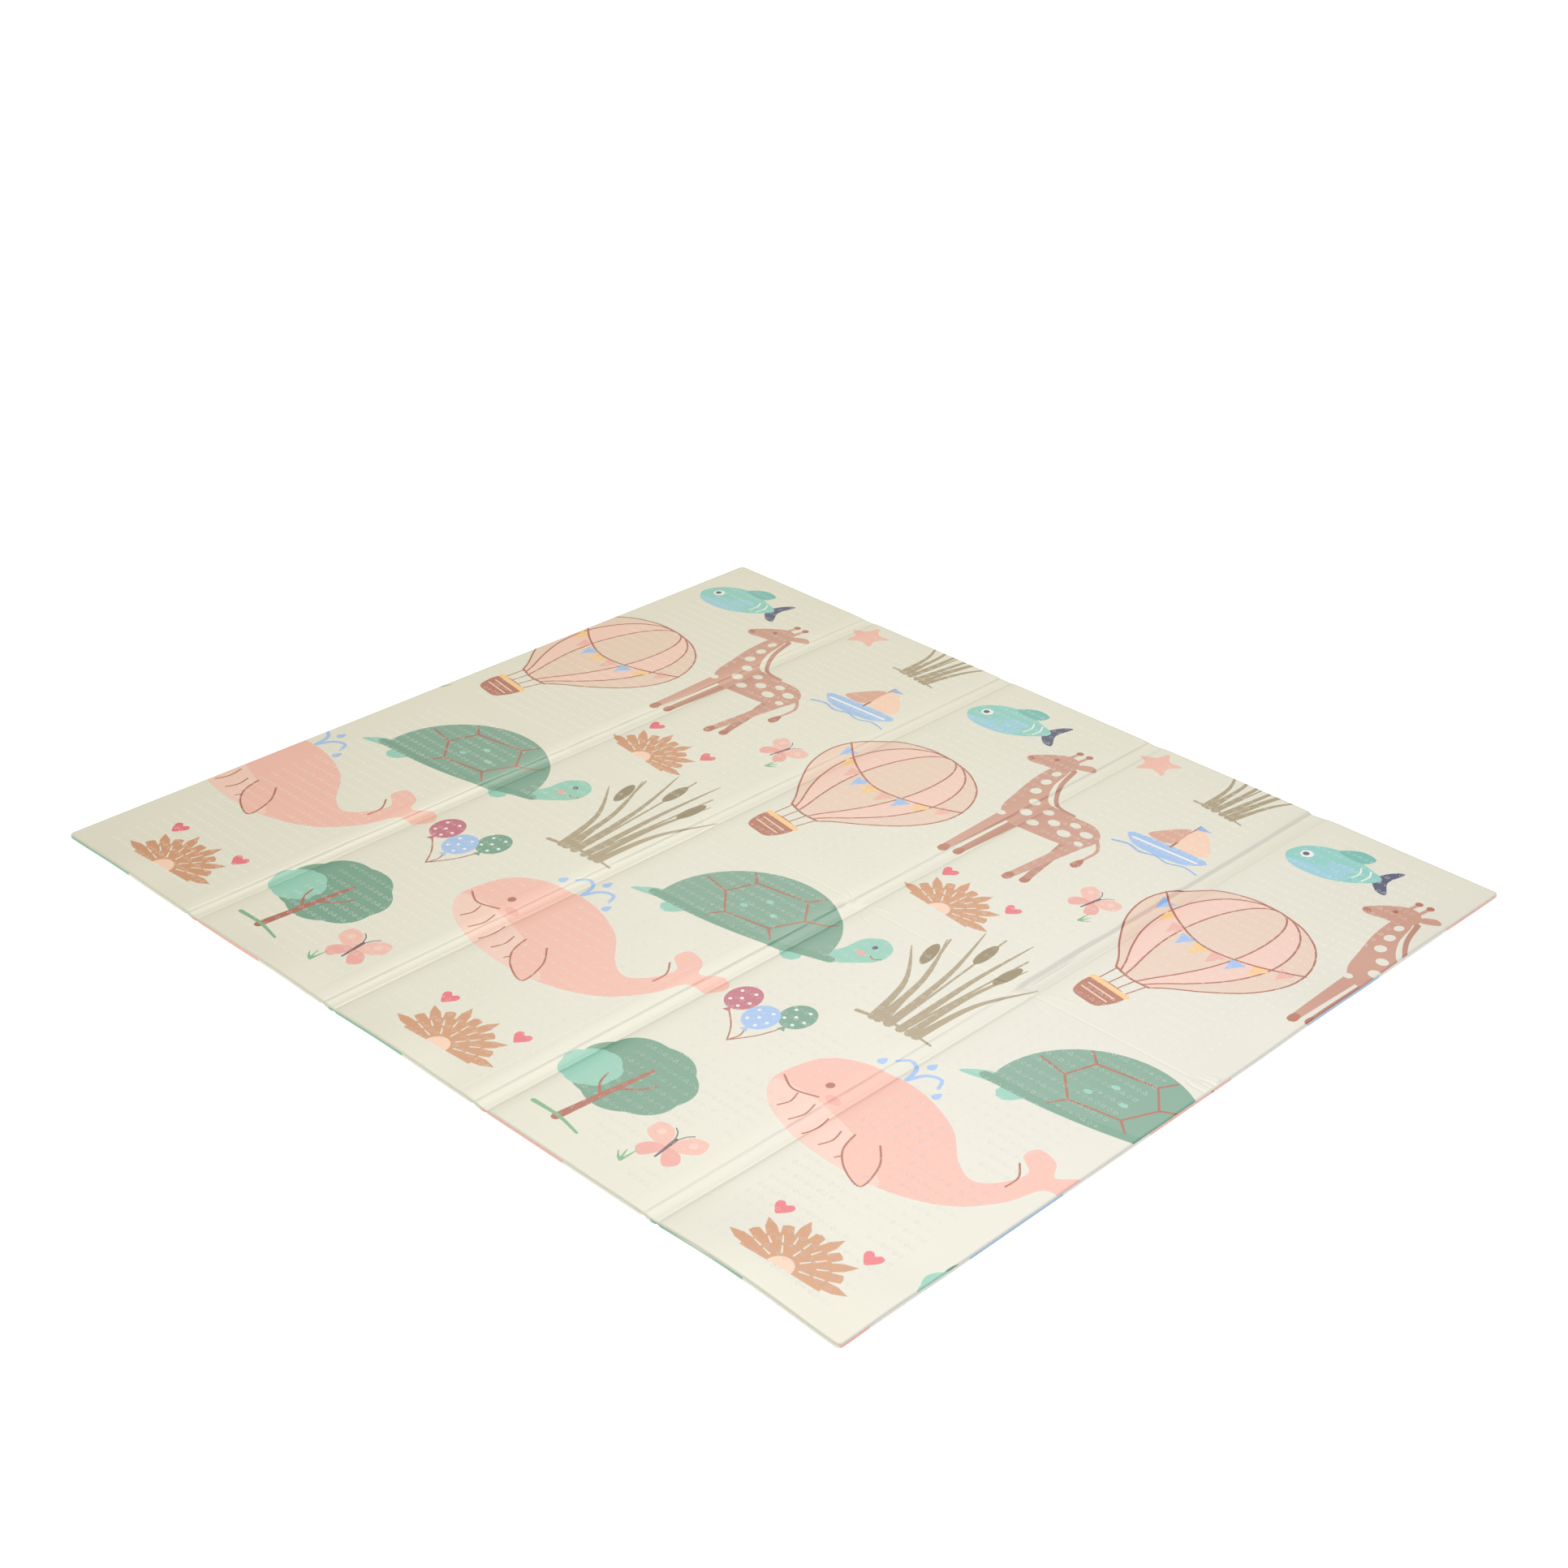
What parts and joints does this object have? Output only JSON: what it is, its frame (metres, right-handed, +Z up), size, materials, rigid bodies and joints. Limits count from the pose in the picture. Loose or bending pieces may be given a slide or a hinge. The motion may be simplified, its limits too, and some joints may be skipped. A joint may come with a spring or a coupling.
{
  "type": "foldable foam floor mat",
  "caption": "Foldable foam floor mat lying flat, with wide panels between paired fold grooves pressed from below, a middle fold across them and a rounded rim.",
  "frame": {"origin": "middle of the mat's footprint, on the floor it lies on", "axes": "+X along the longer side, across the fold bands; +Y along the shorter side; +Z up, out of the printed top film"},
  "size_m": [2, 1.7999, 0.016],
  "materials": {
    "film": "printed and embossed satin film over closed-cell foam"
  },
  "bodies": {
    "root": {"mat": "film"}
  },
  "joints": []
}
